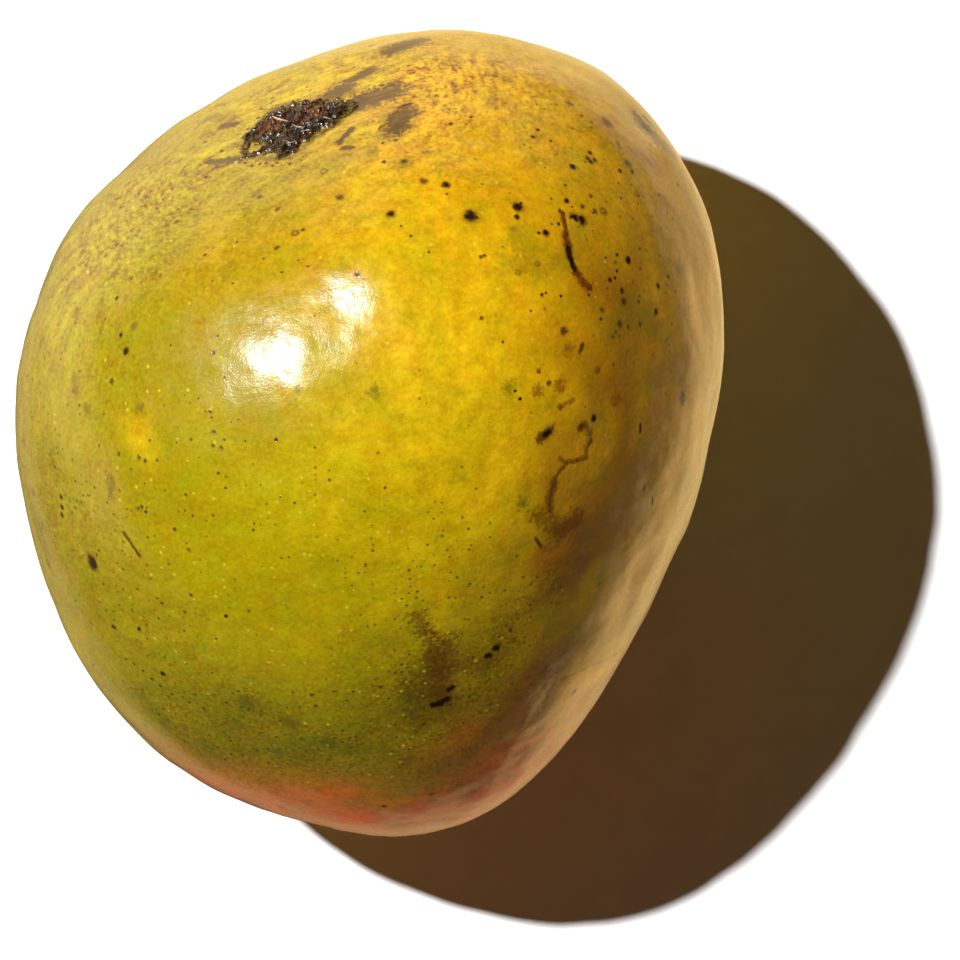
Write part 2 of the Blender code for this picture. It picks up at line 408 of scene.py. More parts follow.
# A dot's size as a share of its radius: what its drawn number adds, and the least. Then how
# gently the density lets a dot in
DOT_SIZES = (0.8, 0.5)
DOT_FADE = 0.08

# How far the stem scar is from the fruit's middle
SCAR_ARM = 46.3 * MM

# The crust's noises, across in millimetres, the heights of its relief in millimetres, and its
# gloss
CRUST_GRAIN_SIZE = 0.22
CRUST_PATCH_SIZE = 0.9
CRUST_BEAD_SIZE = 0.5
CRUST_GRAIN_HEIGHT = 0.02
CRUST_BEAD_HEIGHT = 0.08
CRUST_ROUGHNESS = 0.35
CREVICE_ROUGHNESS = 0.3
CRUST_SPECULAR = 0.35
# The values that lumps, hearts and the rim's noise fade between, how much of a crevice the painted shade
# covers, and how the grain darkens and lightens the colour
LUMP_FADE = (0.45, 1.0)
HEART_FADE = (0.40, 0.58)
RIM_FADE = (0.38, 0.60)
CREVICE_SHADE_COVER = 0.75
GRAIN_TINT = (1.6, 0.2)

# The crust's outline, as pixels of the view
CRUST_OUTLINE = (
    (238, 153), (244, 142), (252, 130), (263, 118), (275, 108), (292, 105), (310, 104), (326, 104),
    (340, 102), (349, 106), (347, 113), (337, 121), (326, 128), (315, 134), (304, 144), (292, 153),
    (283, 157), (273, 159), (262, 155), (250, 156),
)

# The crust's middle, hollow and red-brown hearts, across and along from the stem
CRUST_MIDDLE = (-0.5 * MM, -0.6 * MM)
CRUST_HOLLOW = (4.8 * MM, -0.4 * MM)
CRUST_CORES = ((-2.3 * MM, -0.4 * MM), (1.8 * MM, -2.4 * MM))

# Pale fibres on the crust: width in millimetres and the line they follow, as pixels of the view
FIBRES = (
    (0.30, (272, 117), (279, 119), (288, 122)),
    (0.13, (291, 124), (297, 127), (304, 127)),
    (0.12, (300, 132), (308, 130), (315, 133)),
    (0.11, (317, 120), (324, 117), (330, 119)),
    (0.10, (283, 140), (289, 143), (296, 141)),
)
FIBRE_RINGS = 18
FIBRE_SIDES = 8
# How far a fibre's middle lies above the crust, in its widths, and the share of its length where
# the taper stops at each end
FIBRE_LIFT = 0.35
FIBRE_BLUNT = 0.03
# The fibres' bands, across in millimetres, the values they fade between, what they add to the
# roughness, the least roughness, and their height in millimetres
BAND_SIZE = 0.3
BAND_FADE = (0.35, 0.65)
BAND_ROUGHNESS = (0.2, 0.3)
BAND_HEIGHT = 0.02

# The floor's grid, its thickness as a share of its radius, and how far below the fruit it lies
FLOOR_RINGS = 8
FLOOR_SIDES = 96
FLOOR_DEPTH = 0.01
FLOOR_GAP = 0.05 * MM
# The floor's patches, across in millimetres, and how they change its colour and roughness
FLOOR_PATCH_SIZE = 9.0
FLOOR_TINT = (0.16, 1.0)
FLOOR_ROUGHNESS = (0.1, 0.65)

# The painted reflection: a glow that the floor gives off for the skin's mirrored rays only, though it is
# no lamp. It starts outside a circle, fades out at another, is stronger along one heading and starts
# again far along another. Middles and distances in millimetres, then the glow before and after them,
# if that isn't none and full
GLOW_START = ((-9.0, -4.0, 0.0), 57.0, 67.0)
GLOW_END = ((25.0, 20.0, 0.0), 105.0, 152.0, 1.0, 0.0)
GLOW_SIDE = ((0.9, 0.45), -70.0, 70.0, 0.50, 1.0)
GLOW_CORNER = ((-0.9, 0.8), 108.0, 148.0, 0.0, 1.3)
GLOW_STRENGTH = 1.9

# The way to the key light from the fruit, and the height of the fruit's middle that it faces
KEY_DIRECTION = (-0.450, 0.281, 0.848)
FRUIT_MIDDLE = 0.045


def length_property(name, description, default):
    """Return a length property in metres."""
    return bpy.props.FloatProperty(name=name, description=description, default=default, unit="LENGTH")


def angle_property(name, description, degrees):
    """Return an angle property, with its default given in degrees."""
    return bpy.props.FloatProperty(
        name=name, description=description, default=math.radians(degrees), subtype="ANGLE"
    )


def colour_property(name, description, default):
    """Return a linear RGB colour property."""
    return bpy.props.FloatVectorProperty(
        name=name, description=description, default=default, size=3, min=0.0, max=1.0, subtype="COLOR"
    )


class MangoForm(bpy.types.PropertyGroup):
    """Sizes of the fruit and of the crust on its stem scar"""

    half_length: length_property(
        "Half length", "Half the length of the egg that the fruit starts from", 0.0519
    )
    half_width: length_property(
        "Half width", "Half the egg's width, from the dorsal to the ventral side", 0.0461
    )
    half_thickness: length_property(
        "Half thickness", "Half the egg's thickness, from cheek to cheek", 0.0431
    )
    stem_taper: bpy.props.FloatProperty(
        name="Stem taper",
        description="How much fatter the stem end of the egg is than its middle",
        default=0.165,
        subtype="FACTOR",
    )
    stem_rise: angle_property("Stem rise", "How far the stem end is raised above the level", 31.4)
    stem_heading: angle_property("Stem heading", "Compass heading of the stem end, from +X", 101.7)
    length_roll: angle_property("Roll", "Turn of the fruit about its own length", 15.4)
    pressed_height: length_property(
        "Pressed height", "Height of skin that the fruit's weight presses flat", 0.0013
    )
    crust_length: length_property(
        "Crust length", "Length of the dried crust over the stem scar", 0.0150
    )
    crust_width: length_property("Crust width", "Width of the dried crust over the stem scar", 0.0092)
    crust_height: length_property(
        "Crust height", "Height of the crust above the skin, before its lumps", 0.0013
    )


class MangoColours(bpy.types.PropertyGroup):
    """Colours of the skin, the crust and the stage"""

    gold: colour_property("Gold", "Ripe golden skin", (0.292, 0.236, 0.0004))
    green: colour_property("Green", "Skin that is still green", (0.176, 0.134, 0.0004))
    olive: colour_property("Olive", "Dark olive mottling near the apex", (0.046, 0.043, 0.0006))
    orange: colour_property("Orange", "Fully ripe orange skin", (0.335, 0.170, 0.0004))
    rust: colour_property("Rust", "Rubbed, rusty brown skin", (0.135, 0.032, 0.0006))
    straw: colour_property("Straw", "Pale straw-yellow skin", (0.620, 0.355, 0.003))
    blush: colour_property("Blush", "Red blush round the apex", (0.460, 0.042, 0.010))
    lenticel: colour_property("Lenticels", "Pale breathing pores of the skin", (0.480, 0.370, 0.030))
    speck: colour_property("Specks", "Fine dark specks of the skin", (0.018, 0.008, 0.001))
    blot: colour_property("Blots", "Soft brown blots among the streaks", (0.070, 0.034, 0.010))
    crust: colour_property("Crust", "Dried crust on the stem scar", (0.007, 0.0028, 0.001))
    crust_lump: colour_property("Crust lumps", "The browner lumps of the crust", (0.040, 0.014, 0.004))
    # Painted shade: the near-black laid in the gaps between the crust's lumps
    crevice: colour_property("Crevices", "Gaps between the crust's lumps", (0.003, 0.002, 0.002))
    crust_rim: colour_property("Crust rim", "Brittle olive-tan rim of the crust", (0.110, 0.070, 0.010))
    fibre: colour_property("Fibres", "Pale fibres stuck to the crust", (0.520, 0.420, 0.330))
    fibre_band: colour_property("Fibre bands", "Darker bands of the fibres", (0.240, 0.130, 0.070))
    crust_core: colour_property("Crust core", "Red-brown heart of the crust", (0.120, 0.026, 0.005))
    floor: colour_property("Floor", "The pale surface that the fruit lies on", (0.800, 0.800, 0.800))
    bounce: colour_property("Bounce", "Warm light that the floor sends back", (1.000, 0.780, 0.360))
    # Painted reflection: the colour of the glow that the floor gives off for the skin's mirrored rays
    # only
    painted_reflection: colour_property("Mirrored", "The floor as the waxy skin mirrors it", (0.880, 0.610, 0.260))


class MangoStage(bpy.types.PropertyGroup):
    """The light and the floor"""

    key_power: bpy.props.FloatProperty(
        name="Key power", description="Power of the key light", default=77.0, subtype="POWER"
    )
    key_size: length_property("Key size", "Across the round key light", 0.056)
    key_distance: length_property("Key distance", "How far the key light is from the fruit", 1.8)
    floor_radius: length_property("Floor radius", "Radius of the round floor", 1.2)
    room: colour_property("Room", "Dim light from the room around", (0.060, 0.040, 0.018))


def unit_directions(colatitude, longitude):
    """Return unit directions for colatitudes and longitudes in radians, along the last axis."""
    flat = np.sin(colatitude)
    return np.stack([flat * np.cos(longitude), flat * np.sin(longitude), np.cos(colatitude)], axis=-1)


def direction_of(place):
    """Return the unit direction of a place given by colatitude and longitude in degrees."""
    return unit_directions(math.radians(place[0]), math.radians(place[1]))


def wave_field(points, wavelength, seed, count=28):
    """Return a smooth uneven field of about -1 to 1.

    It is the sum of plane waves of about one wavelength, with drawn headings and phases,
    divided by the root of their count.
    """
    draw = np.random.default_rng(seed)
    headings = draw.normal(size=(count, 3))
    headings /= np.linalg.norm(headings, axis=1)[:, None]
    lengths = wavelength * draw.uniform(0.7, 1.4, count)
    phases = draw.uniform(0.0, 2.0 * math.pi, count)
    waves = np.sin(points @ (headings.T * 2.0 * math.pi / lengths) + phases)
    return waves.sum(axis=1) / math.sqrt(count)


def egg_points(directions, form):
    """Return the egg: an ellipsoid whose width grows evenly towards the stem."""
    half_sizes = np.array([form.half_width, form.half_thickness, form.half_length])
    reach = 1.0 / np.linalg.norm(directions / half_sizes, axis=1)
    points = directions * reach[:, None]
    widening = 1.0 + form.stem_taper * points[:, 2] / form.half_length
    points[:, 0] *= widening
    points[:, 1] *= widening
    return points


def bare_points(directions, form):
    """Return the fruit without its crust, in its own frame: the egg, plus each broad form as a
    bell of the angle from its middle, less the corky dent as a round bell."""
    points = egg_points(directions, form)
    height = np.zeros(len(directions))
    for colatitude, longitude, spread, rise in BROAD_FORMS.values():
        middle = direction_of((colatitude, longitude))
        height += rise * np.exp((directions @ middle - 1.0) / math.radians(spread) ** 2)
    points += directions * height[:, None]
    angle = np.arccos(np.clip(directions @ direction_of(DENT_PLACE), -1.0, 1.0))
    distance = np.linalg.norm(points, axis=1) * angle
    return points - directions * (DENT_DEPTH * np.exp(-((distance / DENT_RADIUS) ** 2)))[:, None]


def skin_points(directions, form):
    """Return the fine skin in the fruit's own frame: the bare fruit with its undulations and
    small forms."""
    points = bare_points(directions, form)
    height = np.zeros(len(points))
    for radius, rise, *places in SMALL_FORMS.values():
        middles = bare_points(np.array([direction_of(place) for place in places]), form)
        height += rise * np.exp(-((line_distance(points, middles) / radius) ** 2))
    for seed, (wavelength, rise) in enumerate(UNDULATIONS):
        height += rise * wave_field(points, wavelength, seed)
    return points + directions * height[:, None]


def direction_grid(rows, columns, crowding):
    """Return colatitudes and longitudes of a closed grid from stem to apex.

    A row at the share t of the way lies at pi times (t - crowding sin(pi t) (1 - t)).
    """
    share = np.arange(1, rows + 1) / (rows + 1)
    colatitude = math.pi * (share - crowding * np.sin(math.pi * share) * (1.0 - share))
    longitude = np.arange(columns) * 2.0 * math.pi / columns
    return np.meshgrid(colatitude, longitude, indexing="ij")


def closed_faces(rows, columns):
    """Return the quads and the cap triangles of a closed grid: the first vertex is the pole
    before the first row, the last one the pole after the last row. Faces point outwards."""
    index = 1 + np.arange(rows * columns).reshape(rows, columns)
    following = np.roll(index, -1, axis=1)
    quads = np.stack([index[:-1], index[1:], following[1:], following[:-1]], axis=-1).reshape(-1, 4)
    last = rows * columns + 1
    top = np.stack([np.zeros(columns, int), index[0], following[0]], axis=-1)
    bottom = np.stack([np.full(columns, last), following[-1], index[-1]], axis=-1)
    return quads.tolist() + top.tolist() + bottom.tolist()


def resting_turn(form):
    """Return the matrix whose columns are the world directions of the fruit's own axes."""
    stem = unit_directions(math.pi / 2.0 - form.stem_rise, form.stem_heading)
    up = np.array([0.0, 0.0, 1.0])
    cheek = up - stem * (up @ stem)
    cheek /= np.linalg.norm(cheek)
    dorsal = np.cross(cheek, stem)
    cosine, sine = math.cos(form.length_roll), math.sin(form.length_roll)
    rolled = np.array([[cosine, -sine, 0.0], [sine, cosine, 0.0], [0.0, 0.0, 1.0]])
    return np.column_stack([dorsal, cheek, stem]) @ rolled


def resting_shift(form):
    """Return the move that sets the turned fruit on the floor, less the pressed height, with
    the middle of its box over the origin."""
    colatitude, longitude = direction_grid(ROWS, COLUMNS, 0.0)
    directions = unit_directions(colatitude, longitude).reshape(-1, 3)
    placed = bare_points(directions, form) @ resting_turn(form).T
    low, high = placed.min(axis=0), placed.max(axis=0)
    middle = (low + high) / 2.0
    return np.array([-middle[0], -middle[1], -low[2] - form.pressed_height])


def lay_to_rest(points, form):
    """Turn points of the fruit to its resting pose, and press flat what lies below the floor."""
    placed = points @ resting_turn(form).T + resting_shift(form)
    placed[:, 2] = np.maximum(placed[:, 2], 0.0)
    return placed


def smooth_mesh(name, points, faces):
    """Make a smooth mesh object from an array of points and a list of faces."""
    mesh = bpy.data.meshes.new(name)
    mesh.from_pydata(points.tolist(), [], faces)
    mesh.update()
    mesh.shade_smooth()
    piece = bpy.data.objects.new(name, mesh)
    bpy.context.scene.collection.objects.link(piece)
    return piece


def set_attribute(mesh, name, kind, domain, values):
    """Write an array to a new attribute of the mesh."""
    field = {"FLOAT": "value", "FLOAT_VECTOR": "vector", "FLOAT_COLOR": "color"}[kind]
    made = mesh.attributes.new(name, kind, domain)
    made.data.foreach_set(field, np.ascontiguousarray(values, dtype=np.float32).ravel())


class Surface:
    """The finished skin, which pixels of the view and places on the fruit are laid on."""

    def __init__(self, piece, form):
        mesh = piece.data
        self.mesh = mesh
        self.turn = resting_turn(form)
        self.inside = Vector(resting_shift(form))
        self.points = np.empty(len(mesh.vertices) * 3, np.float32)
        mesh.vertices.foreach_get("co", self.points)
        self.points = self.points.reshape(-1, 3).astype(float)
        faces = [tuple(face.vertices) for face in mesh.polygons]
        self.tree = BVHTree.FromPolygons([Vector(point) for point in self.points], faces)

    def under_pixel(self, pixel):
        """Return the point and the normal of the skin under a pixel of the view."""
        focal_px = PHOTO_SIDE_PX * LENS_MM / SENSOR_MM
        half = PHOTO_SIDE_PX / 2.0
        ray = Vector(((pixel[0] - half) / focal_px, (half - pixel[1]) / focal_px, -1.0))
        return self.hit(Vector(CAMERA_PLACE), ray, pixel)

    def at_place(self, place):
        """Return the point and the normal of the skin at a colatitude and a longitude."""
        heading = Vector(self.turn @ direction_of(place))
        return self.hit(self.inside + heading * 0.2, -heading, place)

    def hit(self, start, ray, label):
        """Return where a ray meets the skin, and the outward normal there."""
        point, normal, _, _ = self.tree.ray_cast(start, ray.normalized())
        if point is None:
            raise RuntimeError(f"nothing lies under {label}")
        return np.array(point), np.array(normal)


def line_distance(points, line):
    """Return the distance of each point to a line through one or more points."""
    nearest = np.linalg.norm(points - line[0], axis=1)
    for start, end in zip(line[:-1], line[1:]):
        run = end - start
        share = np.clip((points - start) @ run / max(run @ run, 1e-12), 0.0, 1.0)
        nearest = np.minimum(nearest, np.linalg.norm(points - start - share[:, None] * run, axis=1))
    return nearest


def lay_zones(surface):
    """Write each colour quality to the skin: zones added up, each fading as a bell with the
    distance from its line, on points that are first shifted by broad waves."""
    points = surface.points
    waves = [wave_field(points, ZONE_WAVELENGTH, seed) for seed in ZONE_SEEDS]
    shifted = points + ZONE_WANDER * np.stack(waves, axis=-1)
    fields = {quality: np.zeros(len(points)) for quality in QUALITIES}
    lines = [(zone, surface.under_pixel) for zone in ZONES.values()]
    lines += [(zone, surface.at_place) for zone in FAR_ZONES.values()]
    for (quality, strength, reach, *line), find in lines:
        middle = [find(place)[0] for place in line]
        share = line_distance(shifted, middle) / (reach * MM)
        fields[quality] += strength * np.exp(-(share**2))
    for quality, field in fields.items():
        set_attribute(surface.mesh, quality, "FLOAT", "POINT", np.clip(field, 0.0, MOST_SHARE))


def skin_piece(form):
    """Make the skin: the fruit's formula on a closed grid.

    Its attribute meridian holds the way round the fruit, as a point of a unit circle, and the
    colatitude in radians, for streaks that run from the stem. Its attribute own holds the place
    in the fruit's own frame in millimetres.
    """
    colatitude, longitude = direction_grid(ROWS, COLUMNS, STEM_CROWDING)
    poles = np.array([[0.0, 0.0, 1.0]]), np.array([[0.0, 0.0, -1.0]])
    directions = np.vstack([poles[0], unit_directions(colatitude, longitude).reshape(-1, 3), poles[1]])
    own = skin_points(directions, form)
    piece = smooth_mesh("mango_skin", lay_to_rest(own, form), closed_faces(ROWS, COLUMNS))
    around = directions[:, :2] / np.maximum(np.hypot(directions[:, 0], directions[:, 1]), 0.02)[:, None]
    fall = np.arccos(np.clip(directions[:, 2], -1.0, 1.0))
    set_attribute(piece.data, "meridian", "FLOAT_VECTOR", "POINT", np.column_stack([around, fall]))
    set_attribute(piece.data, "own", "FLOAT_VECTOR", "POINT", own / MM)
    return piece


def stroke_runs(surface):
    """Return the straight runs of every stroke: kind, half width, ends and normal, stroke number."""
    runs = []
    number = 0
    for kind, width, *pixels in SPOTS:
        for pixel in pixels:
            point, normal = surface.under_pixel(pixel)
            runs.append((kind, width * MM / 2.0, point, point, normal, number))
            number += 1
    for kind, width, *pixels in STROKES:
        hits = [surface.under_pixel(pixel) for pixel in pixels]
        for (start, normal), (end, _) in zip(hits[:-1], hits[1:]):
            runs.append((kind, width * MM / 2.0, start, end, normal, number))
        number += 1
    return runs + scattered_runs(surface, number)


def scattered_runs(surface, number):
    """Return marks drawn at random on the skin that the view doesn't show.

    The draw takes even directions and keeps those that face away from the camera.
    """
    draw = np.random.default_rng(SCATTER_SEED)
    runs = []
    for kind, count, least, most in SCATTERED:
        placed = 0
        while placed < count:
            height, turn = draw.uniform(-1.0, 1.0), draw.uniform(-180.0, 180.0)
            point, normal = surface.at_place((math.degrees(math.acos(height)), turn))
            width = least * (most / least) ** draw.random() ** SCATTER_POWER
            away = draw.normal(size=3)
            if normal @ (np.array(CAMERA_PLACE) - point) > 0.0:
                continue
            away -= normal * (away @ normal)
            stretch = draw.uniform(0.0, SCATTER_STRETCH) * width * MM
            end = point + away / np.linalg.norm(away) * stretch
            runs.append((kind, width * MM / 2.0, point, end, normal, number))
            placed += 1
            number += 1
    return runs


def share_out(runs):
    """Give each stroke the first layer where it is clear of what lies there, or the clearest."""
    layers = np.zeros(len(runs), int)
    middles = np.array([(run[2] + run[3]) / 2.0 for run in runs])
    reaches = np.array([MARK_REACH * run[1] + np.linalg.norm(run[3] - run[2]) / 2.0 for run in runs])
    numbers = np.array([run[5] for run in runs])
    for number in range(numbers.max() + 1):
        own = np.flatnonzero(numbers == number)
        before = np.flatnonzero(numbers < number)
        room = np.full(MARK_LAYERS, np.inf)
        if len(before):
            gaps = np.linalg.norm(middles[own][:, None] - middles[before][None], axis=2)
            gaps -= reaches[own][:, None] + reaches[before][None]
            for layer in range(MARK_LAYERS):
                there = gaps[:, layers[before] == layer]
                room[layer] = there.min() if there.size else np.inf
        clear = np.flatnonzero(room > FACE_MARGIN)
        layers[own] = clear[0] if len(clear) else room.argmax()
    return layers


def lay_marks(surface):
    """Write each layer of marks to the corners of the faces round it.

    A corner's place is its offset from the middle of the nearest run, along and across it, in
    half widths, and the run's half length in half widths.
    """
    mesh = surface.mesh
    vertex = np.empty(len(mesh.loops), np.int32)
    mesh.loops.foreach_get("vertex_index", vertex)
    sizes = np.empty(len(mesh.polygons), np.int32)
    mesh.polygons.foreach_get("loop_total", sizes)
    centres = np.empty(len(mesh.polygons) * 3, np.float32)
    mesh.polygons.foreach_get("center", centres)
    centres = centres.reshape(-1, 3)
    face = np.repeat(np.arange(len(sizes)), sizes)
    corners = surface.points[vertex]
    runs = stroke_runs(surface)
    layers = share_out(runs)
    for layer in range(MARK_LAYERS):
        chosen = [run for run, at in zip(runs, layers) if at == layer]
        lay_layer(mesh, f"marks_{layer}", chosen, centres, corners, face)


def lay_layer(mesh, name, runs, centres, corners, face):
    """Write one layer of marks to the face corners."""
    half_width = np.array([run[1] for run in runs])
    start = np.array([run[2] for run in runs])
    end = np.array([run[3] for run in runs])
    normal = np.array([run[4] for run in runs])
    middle = (start + end) / 2.0
    half_run = np.linalg.norm(end - start, axis=1) / 2.0
    along = end - start
    spots = half_run < LEAST_RUN
    along[spots] = np.cross(normal[spots], ROUND_HEADING)
    along -= normal * (along * normal).sum(axis=1)[:, None]
    along /= np.linalg.norm(along, axis=1)[:, None]
    across = np.cross(normal, along)
    gap = np.full(len(centres), np.inf)
    nearest = np.zeros(len(centres), int)
    for index in range(len(runs)):
        offset = centres - middle[index]
        past = np.maximum(np.abs(offset @ along[index]) - half_run[index], 0.0)
        beside = (offset**2).sum(axis=1) - (offset @ along[index]) ** 2
        distance = np.sqrt(past**2 + np.maximum(beside, 0.0)) - half_width[index]
        closer = distance < gap
        gap[closer] = distance[closer]
        nearest[closer] = index
    reached = gap < (MARK_REACH - 1.0) * half_width[nearest] + FACE_MARGIN
    run = nearest[face]
    offset = corners - middle[run]
    scale = half_width[run]
    lengthwise = (offset * along[run]).sum(axis=1) / scale
    sideways = (offset * across[run]).sum(axis=1) / scale
    place = np.stack([lengthwise, sideways, half_run[run] / scale], axis=-1)
    place[~reached[face]] = NO_MARK
    kinds = [MARK_KINDS[entry[0]] for entry in runs]
    looks = np.array([[*colour, *rest] for colour, *rest in kinds])[run]
    set_attribute(mesh, name + "_place", "FLOAT_VECTOR", "CORNER", place)
    set_attribute(mesh, name + "_tint", "FLOAT_COLOR", "CORNER", looks[:, :4])
    set_attribute(mesh, name + "_edge", "FLOAT_VECTOR", "CORNER", looks[:, 4:7])
    set_attribute(mesh, name + "_dress", "FLOAT_VECTOR", "CORNER", looks[:, 7:10])


class Wiring:
    """Adds nodes to one shader tree. Each method returns the socket that its node puts out."""

    def __init__(self, tree):
        self.tree = tree

    def node(self, kind, **settings):
        """Add a node and set its settings."""
        made = self.tree.nodes.new(kind)
        for name, value in settings.items():
            setattr(made, name, value)
        return made

    def feed(self, socket, value):
        """Link value to the socket if it is one itself, or else set the socket to it."""
        if isinstance(value, bpy.types.NodeSocket):
            self.tree.links.new(value, socket)
        else:
            socket.default_value = value

    def math(self, operation, *values, clamp=False):
        """Return the result of a sum on numbers."""
        made = self.node("ShaderNodeMath", operation=operation, use_clamp=clamp)
        for socket, value in zip(made.inputs, values):
            self.feed(socket, value)
        return made.outputs[0]

    def times(self, first, second):
        """Return the product of two numbers."""
        return self.math("MULTIPLY", first, second)

    def plus_times(self, first, factor, added):
        """Return a number times a factor, plus another number."""
        return self.math("MULTIPLY_ADD", first, factor, added)

    def vector(self, operation, *values):
        """Return the result of a sum on vectors."""
        made = self.node("ShaderNodeVectorMath", operation=operation)
        for socket, value in zip(made.inputs, values):
            self.feed(socket, value)
        return made.outputs["Value"] if operation == "LENGTH" else made.outputs["Vector"]

    def scaled(self, vector, factor):
        """Return the vector times a number."""
        made = self.node("ShaderNodeVectorMath", operation="SCALE")
        self.feed(made.inputs[0], vector)
        self.feed(made.inputs["Scale"], factor)
        return made.outputs["Vector"]

    def mix(self, share, first, second, blend="MIX"):
        """Return the first colour, changed to the second by the share. The node keeps its
        colours on sockets 6 and 7 and puts the mixed one out on socket 2."""
        made = self.node("ShaderNodeMix", data_type="RGBA", blend_type=blend)
        self.feed(made.inputs["Factor"], share)
        self.feed(made.inputs[6], first)
        self.feed(made.inputs[7], second)
        return made.outputs[2]

    def step(self, value, low, high, start=0.0, end=1.0):
        """Return a smooth step from start to end as the value goes from low to high."""
        made = self.node("ShaderNodeMapRange", interpolation_type="SMOOTHSTEP")
        names = ("Value", "From Min", "From Max", "To Min", "To Max")
        for name, entry in zip(names, (value, low, high, start, end)):
            self.feed(made.inputs[name], entry)
        return made.outputs["Result"]

    def noise(self, vector, size, detail=2.0, roughness=0.55):
        """Return noise from 0 to 1 whose features are about size across."""
        made = self.node("ShaderNodeTexNoise")
        self.feed(made.inputs["Vector"], vector)
        self.feed(made.inputs["Scale"], 1.0 / size)
        self.feed(made.inputs["Detail"], detail)
        self.feed(made.inputs["Roughness"], roughness)
        return made.outputs[0]

    def swing(self, vector, size, detail=2.0, roughness=0.55):
        """Return noise that swings about 0, by a half at most."""
        return self.math("SUBTRACT", self.noise(vector, size, detail, roughness), 0.5)

    def attribute(self, name, output="Fac"):
        """Return an attribute of the mesh."""
        made = self.node("ShaderNodeAttribute", attribute_name=name)
        return made.outputs[output]

    def split(self, vector):
        """Return the three numbers of a vector."""
        made = self.node("ShaderNodeSeparateXYZ")
        self.feed(made.inputs[0], vector)
        return made.outputs

    def millimetres(self):
        """Return Object coordinates in millimetres."""
        made = self.node("ShaderNodeTexCoord")
        return self.scaled(made.outputs["Object"], 1.0 / MM)

    def group(self, tree, **values):
        """Place a node group and return its outputs. Underscores stand for spaces."""
        made = self.node("ShaderNodeGroup", node_tree=tree)
        for name, value in values.items():
            self.feed(made.inputs[name.replace("_", " ")], value)
        return made.outputs


def start_group(name, inputs, outputs):
    """Make a node group with named sockets. Return its wiring, what goes in and what comes out."""
    tree = bpy.data.node_groups.new(name, "ShaderNodeTree")
    for label, kind, default in inputs:
        socket = tree.interface.new_socket(name=label, in_out="INPUT", socket_type=kind)
        if default is not None:
            socket.default_value = default
    for label, kind in outputs:
        tree.interface.new_socket(name=label, in_out="OUTPUT", socket_type=kind)
    wires = Wiring(tree)
    return wires, wires.node("NodeGroupInput").outputs, wires.node("NodeGroupOutput").inputs


def dots_group():
    """Round dots strewn evenly over the skin: a cell of space holds a dot if its own drawn
    number is under the density, and another drawn number sets the dot's size."""
    wires, given, out = start_group(
        "Skin dots",
        [
            ("Vector", "NodeSocketVector", None),
            ("Spacing", "NodeSocketFloat", 2.0),
            ("Radius", "NodeSocketFloat", 0.2),
            ("Density", "NodeSocketFloat", 0.5),
            ("Softness", "NodeSocketFloat", 0.4),
        ],
        [("Mask", "NodeSocketFloat")],
    )
    cells = wires.node("ShaderNodeTexVoronoi", feature="F1")
    wires.feed(cells.inputs["Vector"], given["Vector"])
    wires.feed(cells.inputs["Scale"], wires.math("DIVIDE", 1.0, given["Spacing"]))
    drawn = wires.split(cells.outputs["Color"])
    distance = wires.times(cells.outputs["Distance"], given["Spacing"])
    size = wires.plus_times(drawn[1], *DOT_SIZES)
    radius = wires.times(given["Radius"], size)
    share = wires.math("DIVIDE", distance, radius)
    low = wires.math("SUBTRACT", 1.0, given["Softness"])
    high = wires.math("ADD", 1.0, given["Softness"])
    mask = wires.step(share, low, high, 1.0, 0.0)
    kept = wires.step(wires.math("SUBTRACT", given["Density"], drawn[0]), 0.0, DOT_FADE)
    wires.feed(out["Mask"], wires.times(mask, kept))
    return wires.tree


def mark_group():
    """One layer of marks. The distance to a run is worked out in its half widths, noise lets
    the outline wander, and the mask falls smoothly at a distance of one."""
    wires, given, out = start_group(
        "Skin mark",
        [
            ("Swing", "NodeSocketFloat", 0.0),
            ("Place", "NodeSocketVector", None),
            ("Edge", "NodeSocketVector", None),
            ("Dress", "NodeSocketVector", None),
        ],
        [("Mask", "NodeSocketFloat"), ("Halo", "NodeSocketFloat"), ("Relief", "NodeSocketFloat")],
    )
    place = wires.split(given["Place"])
    softness, wander, hollow = wires.split(given["Edge"])[:3]
    halo, relief, stripes = wires.split(given["Dress"])[:3]
    past = wires.math("SUBTRACT", wires.math("ABSOLUTE", place[0]), place[2])
    past = wires.math("MAXIMUM", past, 0.0)
    square = wires.math("ADD", wires.times(past, past), wires.times(place[1], place[1]))
    distance = wires.math("SQRT", square)
    ragged = wires.plus_times(given["Swing"], wander, distance)
    low = wires.math("SUBTRACT", 1.0, softness)
    high = wires.math("ADD", 1.0, softness)
    mask = wires.step(ragged, low, high, 1.0, 0.0)
    middle = wires.step(ragged, *HOLLOW_FADE, 1.0, 0.0)
    mask = wires.times(mask, wires.math("SUBTRACT", 1.0, wires.times(middle, hollow)))
    drawn_out = wires.vector("MULTIPLY", given["Place"], STRIPE_REPEATS)
    bare = wires.times(wires.step(wires.noise(drawn_out, 1.0, 0.0), *STRIPE_FADE), stripes)
    mask = wires.times(mask, wires.math("SUBTRACT", 1.0, bare))
    wires.feed(out["Mask"], mask)
    halo = wires.times(wires.step(distance, *HALO_FADE, 1.0, 0.0), halo)
    relief = wires.times(wires.step(distance, *RELIEF_FADE, 1.0, 0.0), relief)
    wires.feed(out["Halo"], halo)
    wires.feed(out["Relief"], relief)
    return wires.tree


def start_material(name):
    """Make a material with a Principled shader. Return it, its wiring and its shader."""
    material = bpy.data.materials.new(name)
    material.use_nodes = True
    shader = material.node_tree.nodes["Principled BSDF"]
    return material, Wiring(material.node_tree), shader


def solid(colour):
    """Return a linear RGB colour with its alpha."""
    return (*colour, 1.0)


